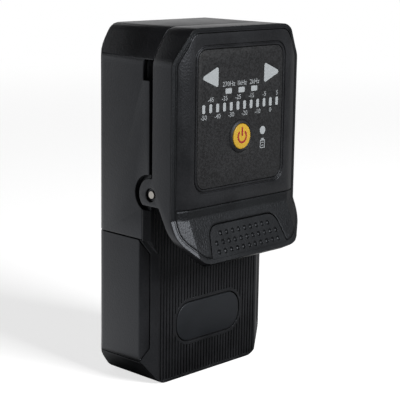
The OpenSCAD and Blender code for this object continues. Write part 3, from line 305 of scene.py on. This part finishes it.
# The plain colour of a material, then the dark and the light one that its pattern goes between
LABEL_COLORS = (0.013, 0.0135, 0.015), (0.0045, 0.0047, 0.0054), (0.022, 0.0229, 0.0252)
WINDOW_COLORS = (0.36, 0.38, 0.40), (0.36, 0.385, 0.40), (0.43, 0.455, 0.47)
BOARD_COLORS = (0.012, 0.13, 0.045), (0.008, 0.09, 0.03), (0.018, 0.17, 0.06)
MATERIALS = {
    "shell_black": moulded("shell black", (0.0095, 0.0096, 0.0108), 0.37, 0.62, 0.08, 0.4),
    "front_black": moulded("front black", (0.0122, 0.0125, 0.0138), 0.4, 0.62, 0.08, 0.4, edge=0.4),
    "lever_black": moulded("lever black", LEVER_COLOR, 0.46, 0.62, 0.17, 0.5, gloss=0.45, edge=1.0),
    "label_charcoal": label_film(*LABEL_COLORS),
    "badge_grey": moulded("badge grey", (0.015, 0.0165, 0.019), 0.42, 0.25, 0.015),
    "clear_window": frosted(*WINDOW_COLORS),
    "button_yellow": moulded("button yellow", (0.60, 0.37, 0.030), 0.42, 0.3, 0.015, 0.06),
    "collar_black": moulded("collar black", (0.020, 0.020, 0.022), 0.5, 0.3, 0.08, 0.3),
    "inner_black": moulded("inner black", (0.018, 0.018, 0.020), 0.55, 0.4, 0.03),
    "jaw_grey": moulded("jaw grey", (0.050, 0.052, 0.056), 0.45, 0.3, 0.02),
    "pad_rubber": moulded("pad rubber", (0.015, 0.015, 0.016), 0.7, 0.25, 0.03),
    "pin_steel": steel("pin steel", (0.5, 0.475, 0.44), 0.34),
    "bright_steel": steel("bright steel", (0.58, 0.59, 0.61), 0.28),
    "board_green": board_mask(*BOARD_COLORS),
    "chip_black": moulded("chip black", (0.014, 0.014, 0.015), 0.5, 0.2, 0.015),
    "cell_wrap": glossy("cell wrap", (0.42, 0.22, 0.03), 0.25),
    "guide_white": moulded("guide white", (0.72, 0.72, 0.69), 0.5, 0.3, 0.02, 0.05),
    "led_cream": glossy("lamp resin", (0.8, 0.76, 0.55), 0.3),
}
PALE_INK = ink("pale ink", (0.34, 0.36, 0.375))
RED_INK = ink("red ink", (0.34, 0.016, 0.022))
SLOT_OF = {part["node"]: part["material_slot"] for part in frame["record"]["subparts"]}
# The rim strip keeps crisp dimples and a crisp crease, so its edges are softened less than the lever's
OWN_MATERIALS = {"rim_frame": moulded("rim black", LEVER_COLOR, 0.44, 0.5, 0.09, 0.4, edge=0.15)}


def material_of(node):
    """Material of a CAD node: its own, or the one of its slot."""
    return OWN_MATERIALS.get(node, MATERIALS[SLOT_OF[node]])


def in_scene(name, data):
    """New object in the scene, of a mesh, a curve, a light or a camera."""
    piece = bpy.data.objects.new(name, data)
    bpy.context.scene.collection.objects.link(piece)
    return piece


def baked(piece):
    """Turns the modifiers of a piece into its mesh."""
    depsgraph = bpy.context.evaluated_depsgraph_get()
    mesh = bpy.data.meshes.new_from_object(piece.evaluated_get(depsgraph))
    piece.modifiers.clear()
    piece.data = mesh


def finish_mesh(piece, material, sharp=32):
    """One material, and smooth shading that stays crisp at edges sharper than the angle in degrees."""
    piece.data.materials.clear()
    piece.data.materials.append(material)
    piece.data.polygons.foreach_set("use_smooth", [True] * len(piece.data.polygons))
    piece.data.set_sharp_from_angle(angle=math.radians(sharp))


def body_of(node):
    """Name of the body that a CAD node is on."""
    return next(name for name, nodes in frame["record"]["behaviour"]["bodies"].items() if node in nodes)


def stands_for(piece, node):
    """Puts a piece on the body of the CAD node that it stands for, and hides the node."""
    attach(piece, body_of(node))
    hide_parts(node)


# Points of a CAD mesh nearer than this are one, and faces that meet under this angle in degrees are one
MERGE_WITHIN = 0.002
FLAT_UNDER = 0.5
# Edges are rounded where they are sharper than this angle and longer than this length
ROUND_OVER = 34
SHORT_EDGE = 0.22
ROUND_SEGMENTS = 3


def merged(mesh):
    """Editable copy of a CAD node's mesh, with the points that lie together made one."""
    work = bmesh.new()
    work.from_mesh(mesh)
    bmesh.ops.remove_doubles(work, verts=work.verts, dist=MERGE_WITHIN * MM)
    return work


def rounded_copy(node, width):
    """Copy of a CAD node's solid with its sharp edges rounded, which stands for the node."""
    mesh = frame["nodes"][node].data.copy()
    work = merged(mesh)
    flat = math.radians(FLAT_UNDER)
    bmesh.ops.dissolve_limit(work, angle_limit=flat, verts=work.verts, edges=work.edges)
    weight = work.edges.layers.float.new("bevel_weight_edge")
    for edge in work.edges:
        crisp = edge.is_manifold and edge.calc_face_angle() > math.radians(ROUND_OVER)
        edge[weight] = 1.0 if crisp and edge.calc_length() > SHORT_EDGE * MM else 0.0
    work.to_mesh(mesh)
    work.free()
    piece = in_scene(node + "_finished", mesh)
    bevel = piece.modifiers.new("rounding", "BEVEL")
    bevel.width = width * MM
    bevel.segments = ROUND_SEGMENTS
    bevel.limit_method = "WEIGHT"
    bevel.use_clamp_overlap = False
    bevel.miter_outer = "MITER_ARC"
    baked(piece)
    finish_mesh(piece, material_of(node))
    stands_for(piece, node)


# Winding of the battery springs, and the sizes that the geometry tree takes by name
SPRING_NODE = "contact_springs"
SPRING_WIRE_R = 0.4
SPRING_TURNS = 4.5
STEPS_A_TURN = 20
WIRE_SIDES = 10
WIRE_SHARP = 60
SPRING_SIZES = ("Coil Radius", "Wire Radius", "Length", "Turns")


def winding():
    """Geometry tree that stands a wound wire, laid along X, at each vertex of the mesh given to it."""
    group = bpy.data.node_groups.new("winding", "GeometryNodeTree")
    group.interface.new_socket("Starts", in_out="INPUT", socket_type="NodeSocketGeometry")
    for name in SPRING_SIZES:
        group.interface.new_socket(name, in_out="INPUT", socket_type="NodeSocketFloat")
    group.interface.new_socket("Springs", in_out="OUTPUT", socket_type="NodeSocketGeometry")
    build = Tree(group)
    given = group.nodes.new("NodeGroupInput")
    starts = Value(build, given.outputs["Starts"])
    coil_r, wire_r, length, turns = (Value(build, given.outputs[name]) for name in SPRING_SIZES)
    spiral = {"Resolution": STEPS_A_TURN, "Rotations": turns, "Height": length}
    spiral.update({"Start Radius": coil_r, "End Radius": coil_r})
    path = build.node("GeometryNodeCurveSpiral", {}, spiral)
    circle = {"Resolution": WIRE_SIDES, "Radius": wire_r}
    wire = build.node("GeometryNodeCurvePrimitiveCircle", {}, circle)
    sweep = {"Curve": path, "Profile Curve": wire, "Fill Caps": True}
    tube = build.node("GeometryNodeCurveToMesh", {}, sweep)
    along_x = (0, math.radians(90), 0)
    places = {"Points": starts, "Instance": tube, "Rotation": along_x}
    placed = build.node("GeometryNodeInstanceOnPoints", {}, places)
    real = build.node("GeometryNodeRealizeInstances", {}, {"Geometry": placed})
    leaving = group.nodes.new("NodeGroupOutput")
    group.links.new(real.socket, leaving.inputs["Springs"])
    return group


def loose_boxes(node):
    """Lowest and highest corner of each separate solid of a CAD node, in metres."""
    work = merged(frame["nodes"][node].data)
    left = set(work.verts)
    boxes = []
    while left:
        found = [left.pop()]
        for vert in found:
            near = {edge.other_vert(vert) for edge in vert.link_edges} & left
            left -= near
            found.extend(near)
        low = Vector(min(vert.co[axis] for vert in found) for axis in range(3))
        high = Vector(max(vert.co[axis] for vert in found) for axis in range(3))
        boxes.append((low, high))
    work.free()
    return sorted(boxes, key=lambda box: box[0].z)


def wound_springs(node):
    """Wound wires in the places of the plain sleeves of a CAD node, which are all of one size."""
    boxes = loose_boxes(node)
    sleeve = boxes[0][1] - boxes[0][0]
    wire_r = SPRING_WIRE_R * MM
    places = []
    for low, high in boxes:
        middle = (low + high) / 2
        places.append((low.x + wire_r, middle.y, middle.z))
    starts = bpy.data.meshes.new(node + "_starts")
    starts.from_pydata(places, [], [])
    piece = in_scene(node + "_wound", starts)
    coils = piece.modifiers.new("winding", "NODES")
    coils.node_group = winding()
    sizes = (sleeve.z / 2 - wire_r, wire_r, sleeve.x - 2 * wire_r, SPRING_TURNS)
    values = dict(zip(SPRING_SIZES, sizes))
    for socket in coils.node_group.interface.items_tree:
        if socket.name in values:
            coils[socket.identifier] = values[socket.name]
    baked(piece)
    finish_mesh(piece, material_of(node), WIRE_SHARP)
    stands_for(piece, node)


def printed(piece, material, body):
    """Printed piece that rides on a body."""
    finish_mesh(piece, material)
    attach(piece, body)


def lettering(name, words, height, x, z):
    """Pale words printed on the label, centred on x and z."""
    curve = bpy.data.curves.new(name, "FONT")
    curve.body = words
    curve.align_x = "CENTER"
    curve.align_y = "CENTER"
    curve.size = height * MM / CAPITAL_SHARE
    curve.extrude = PRINT_T * MM / 2
    curve.offset = height * MM * BOLDER
    curve.resolution_u = LETTER_CURVE_STEPS
    words_object = in_scene(name + "_curve", curve)
    depsgraph = bpy.context.evaluated_depsgraph_get()
    mesh = bpy.data.meshes.new_from_object(words_object.evaluated_get(depsgraph))
    bpy.data.objects.remove(words_object)
    low = min(v.co.y for v in mesh.vertices)
    high = max(v.co.y for v in mesh.vertices)
    upright = Matrix.Rotation(math.pi / 2, 4, "X")
    place = Matrix.Translation(Vector((x, LABEL_Y - PRINT_LIFT, z)) * MM)
    centred = Matrix.Translation((0, -(low + high) / 2, 0))
    mesh.transform(place @ upright @ centred)
    printed(in_scene(name, mesh), PALE_INK, "head")


def flat_print(name, loops, y, material, body):
    """Thin printed shapes on a face that looks along -Y: closed loops of (x, z)."""
    mesh = bpy.data.meshes.new(name)
    work = bmesh.new()
    for loop in loops:
        front = [work.verts.new(Vector((x, y - PRINT_T, z)) * MM) for x, z in loop]
        back = [work.verts.new(Vector((x, y, z)) * MM) for x, z in loop]
        work.faces.new(front)
        work.faces.new(back[::-1])
        count = len(loop)
        for i in range(count):
            j = (i + 1) % count
            work.faces.new((front[j], front[i], back[i], back[j]))
    bmesh.ops.recalc_face_normals(work, faces=work.faces)
    work.to_mesh(mesh)
    work.free()
    printed(in_scene(name, mesh), material, body)


def rectangle(x0, x1, z0, z1):
    """Loop round a rectangle."""
    return [(x0, z0), (x1, z0), (x1, z1), (x0, z1)]


def arc(cx, cz, radius, start, end, steps):
    """Points of an arc round (cx, cz), in degrees from +X."""
    turn = [math.radians(start + (end - start) * k / steps) for k in range(steps + 1)]
    return [(cx + radius * math.cos(a), cz + radius * math.sin(a)) for a in turn]


def label_print():
    """Numbers above and below the level bars, names of the tones, and a battery sign."""
    bar_pitch = (BAR_HIGH.x - BAR_LOW.x - BAR_W) / (BAR_COUNT - 1)
    number_zs = (BAR_LOW.z - NUMBER_DOWN, BAR_HIGH.z + NUMBER_UP)
    for i in range(BAR_COUNT):
        level = str(LOWEST_LEVEL + LEVEL_STEP * i)
        lettering(f"level_{i}", level, NUMBER_H, BAR_LOW.x + BAR_W / 2 + i * bar_pitch, number_zs[i % 2])
    tone_pitch = (TONE_HIGH.x - TONE_LOW.x - TONE_W) / 2
    for i, words in enumerate(TONES):
        lettering(f"tone_{i}", words, TONE_NAME_H, (i - 1) * tone_pitch, TONE_HIGH.z + TONE_NAME_UP)
    battery_sign()


def battery_sign():
    """Small battery sign under the lamp: a case with a nub and charge lines."""
    x = (LAMP_LOW.x + LAMP_HIGH.x) / 2
    top = (LAMP_LOW.z + LAMP_HIGH.z) / 2 - BATTERY_DROP
    foot = top - BATTERY_H
    left, right = x - BATTERY_W / 2, x + BATTERY_W / 2
    nub_left, nub_right = x - BATTERY_W / 4, x + BATTERY_W / 4
    line = BATTERY_LINE
    loops = [
        rectangle(left, right, foot, foot + line),
        rectangle(left, right, top - line, top),
        rectangle(left, left + line, foot + line, top - line),
        rectangle(right - line, right, foot + line, top - line),
        rectangle(nub_left, nub_right, top, top + 2 * line),
    ]
    for k in range(CHARGE_LINES):
        z = foot + (k + 1) * BATTERY_H / (CHARGE_LINES + 1)
        loops.append(rectangle(nub_left, nub_right, z - line / 2, z + line / 2))
    flat_print("battery_sign", loops, LABEL_Y - PRINT_LIFT, PALE_INK, "head")


def power_sign():
    """Power sign on the button: an open ring, as a chain of quads, and a stroke."""
    outer = arc(0, BUTTON_Z, RING_R, RING_FROM, RING_TO, RING_STEPS)
    inner = arc(0, BUTTON_Z, RING_HOLE_R, RING_FROM, RING_TO, RING_STEPS)
    loops = [[outer[i], outer[i + 1], inner[i + 1], inner[i]] for i in range(RING_STEPS)]
    stroke_top = BUTTON_Z + RING_R + STROKE_PAST_RING
    loops.append(rectangle(-STROKE_W / 2, STROKE_W / 2, BUTTON_Z + STROKE_FROM, stroke_top))
    flat_print("power_sign", loops, BUTTON_LOW.y - PRINT_LIFT, RED_INK, "power_button")


# The floor that the camera shows: half its width, its colour, the glow added to it, and the distances
# from the object between which it turns white
FLOOR_REACH = 8.0
FLOOR_GREY = (0.82, 0.82, 0.82)
FLOOR_TOP_UP = 0.7
FLOOR_WHITE = (0.35, 1.1)
# The floor that glossy surfaces show: white behind and on the left, dimmer on the right, dark in front,
# painted dark under the object as a painted shadow of it, and a little dimmer far off. Each pair says where
# a change starts and ends.
FLOOR_SKEW = 0.5
FLOOR_BEHIND = (-0.05, 0.04)
FLOOR_BESIDE = (0.05, 0.3)
FLOOR_BESIDE_GLOW = 0.3
FLOOR_FRONT_GLOW = 0.14
# Distances from the object over which the painted shadow under it fades out
FLOOR_CONTACT_SHADOW = (0.03, 0.055)
FLOOR_FAR = (0.08, 0.6)
FLOOR_FAR_DIM = 0.45
# The world: white behind, dim in front and overhead, a little dimmer on the right, along unit directions
WORLD_BEHIND = (-0.75, 0.75)
WORLD_FRONT_GLOW = 0.06
WORLD_OVERHEAD = (0.3, 0.5)
WORLD_OVERHEAD_GLOW = 0.02
WORLD_RIGHT = (0.55, 0.95)
WORLD_RIGHT_DIM = 0.3
# The softbox in front, in metres and watts
SOFTBOX_AT = Vector((0.10, -0.95, 0.62))
SOFTBOX_SIZE = 0.42
SOFTBOX_POWER = 11.0
WHITE = (1, 1, 1, 1)


def axes(tree, vector, names):
    """Parts of a vector, by the names of its axes."""
    return [tree.node("ShaderNodeSeparateXYZ", {}, {0: vector}, name) for name in names]


def light_path(tree, kind):
    """One for the rays of a kind, zero for the others."""
    return tree.node("ShaderNodeLightPath", {}, {}, kind)


def emission(tree, strength):
    """White light of a strength."""
    return tree.node("ShaderNodeEmission", {}, {"Color": WHITE, "Strength": strength})


def floor_piece():
    """Pale floor that keeps the object's shadow and turns white further off."""
    mesh = bpy.data.meshes.new("floor")
    work = bmesh.new()
    bmesh.ops.create_grid(work, x_segments=1, y_segments=1, size=FLOOR_REACH)
    work.to_mesh(mesh)
    work.free()
    floor = in_scene("floor", mesh)
    pale = Shader("pale floor", FLOOR_GREY, 0.7, Specular_IOR_Level=0.1)
    camera_ray = light_path(pale, "Is Camera Ray")
    mirrored = (light_path(pale, "Is Glossy Ray") + light_path(pale, "Is Transmission Ray")).clamp()
    away = pale.node("ShaderNodeVectorMath", {"operation": "LENGTH"}, {0: pale.object}, "Value")
    lit = Value(pale, pale.principled.outputs[0])
    topped_up = pale.node("ShaderNodeAddShader", {}, {0: lit, 1: emission(pale, camera_ray * FLOOR_TOP_UP)})
    fade = away.step(*FLOOR_WHITE) * camera_ray
    direct = pale.node("ShaderNodeMixShader", {}, {0: fade, 1: topped_up, 2: emission(pale, 1.0)})
    x, y = axes(pale, pale.object, "XY")
    behind = (y - x * FLOOR_SKEW).step(*FLOOR_BEHIND)
    beside = x.step(*FLOOR_BESIDE) * FLOOR_BESIDE_GLOW
    # Painted shadow: the floor that reflections show is dark under the object and brightens a little way
    # out, and it is a little dimmer far off
    near = away.step(*FLOOR_CONTACT_SHADOW) * (1 - away.step(*FLOOR_FAR) * FLOOR_FAR_DIM)
    shown = emission(pale, (behind + beside + FLOOR_FRONT_GLOW).clamp() * near)
    both = pale.node("ShaderNodeMixShader", {}, {0: mirrored, 1: direct, 2: shown})
    pale.tree.links.new(both.socket, pale.tree.nodes["Material Output"].inputs["Surface"])
    floor.data.materials.append(pale.material)


def studio():
    """Lit world round the object, and a softbox in front."""
    world = bpy.data.worlds.new("studio")
    bpy.context.scene.world = world
    world.use_nodes = True
    sky = Tree(world.node_tree)
    background = sky.tree.nodes["Background"]
    background.inputs["Color"].default_value = WHITE
    x, y, z = axes(sky, sky.node("ShaderNodeTexCoord", {}, {}, "Generated"), "XYZ")
    camera_ray = light_path(sky, "Is Camera Ray")
    behind = y.step(*WORLD_BEHIND) * (1 - WORLD_FRONT_GLOW) + WORLD_FRONT_GLOW
    below = 1 - z.step(*WORLD_OVERHEAD) * (1 - WORLD_OVERHEAD_GLOW)
    beside = 1 - x.step(*WORLD_RIGHT) * WORLD_RIGHT_DIM
    strength = camera_ray + (1 - camera_ray) * behind * below * beside
    sky.tree.links.new(strength.socket, background.inputs["Strength"])
    bpy.context.scene.view_settings.view_transform = "Standard"
    area = bpy.data.lights.new("front_softbox", "AREA")
    area.size = SOFTBOX_SIZE
    area.energy = SOFTBOX_POWER
    lamp = in_scene("front_softbox", area)
    lamp.location = SOFTBOX_AT
    aim = Vector((0, 0, TOP_Z / 2 * MM)) - SOFTBOX_AT
    lamp.rotation_euler = aim.to_track_quat("-Z", "Y").to_euler()


# The camera, as it stood for the photograph: place in millimetres, angles in degrees
CAMERA_AT = Vector((-307.78, -293.7, 148.12))
CAMERA_YAW = 46.1
CAMERA_PITCH = -11.72
CAMERA_ROLL = 0.86
CAMERA_FOCAL_PX = 1270.66
IMAGE_W = 400
SENSOR_W = 36
CLIP_NEAR = 0.01
CLIP_FAR = 20


def photo_camera():
    """Camera at the photograph's place, with its field of view."""
    yaw, pitch, roll = (math.radians(a) for a in (CAMERA_YAW, CAMERA_PITCH, CAMERA_ROLL))
    ahead = Vector((math.sin(yaw) * math.cos(pitch), math.cos(yaw) * math.cos(pitch), math.sin(pitch)))
    level = Vector((math.cos(yaw), -math.sin(yaw), 0))
    above = level.cross(ahead)
    right = level * math.cos(roll) + above * math.sin(roll)
    up = above * math.cos(roll) - level * math.sin(roll)
    data = bpy.data.cameras.new("camera")
    data.sensor_width = SENSOR_W
    data.lens = CAMERA_FOCAL_PX / IMAGE_W * SENSOR_W
    data.clip_start = CLIP_NEAR
    data.clip_end = CLIP_FAR
    camera = in_scene("camera", data)
    turn = Matrix((right, up, -ahead)).transposed().to_4x4()
    camera.matrix_world = Matrix.Translation(CAMERA_AT * MM) @ turn
    bpy.context.scene.camera = camera


# CAD nodes whose edges are rounded, and the width of the rounding
ROUNDING = {
    "rear_shell": 0.35,
    "battery_door": 0.35,
    "badge_plate": 0.2,
    "head_shell": 0.3,
    "face_plate": 0.2,
    "label_panel": 0.12,
    "button_collar": 0.25,
    "button_cap": 0.35,
    "hinge_pin": 0.9,
    "head_cover": 0.25,
    "fixed_jaw": 0.3,
    "moving_jaw": 0.3,
    "jaw_pad": 0.2,
}

photo_camera()
floor_piece()
studio()
for node, width in ROUNDING.items():
    rounded_copy(node, width)
wound_springs(SPRING_NODE)
for node, solid in frame["nodes"].items():
    if node not in ROUNDING and node != SPRING_NODE:
        finish_mesh(solid, material_of(node))
label_print()
power_sign()

bpy.context.view_layer.update()
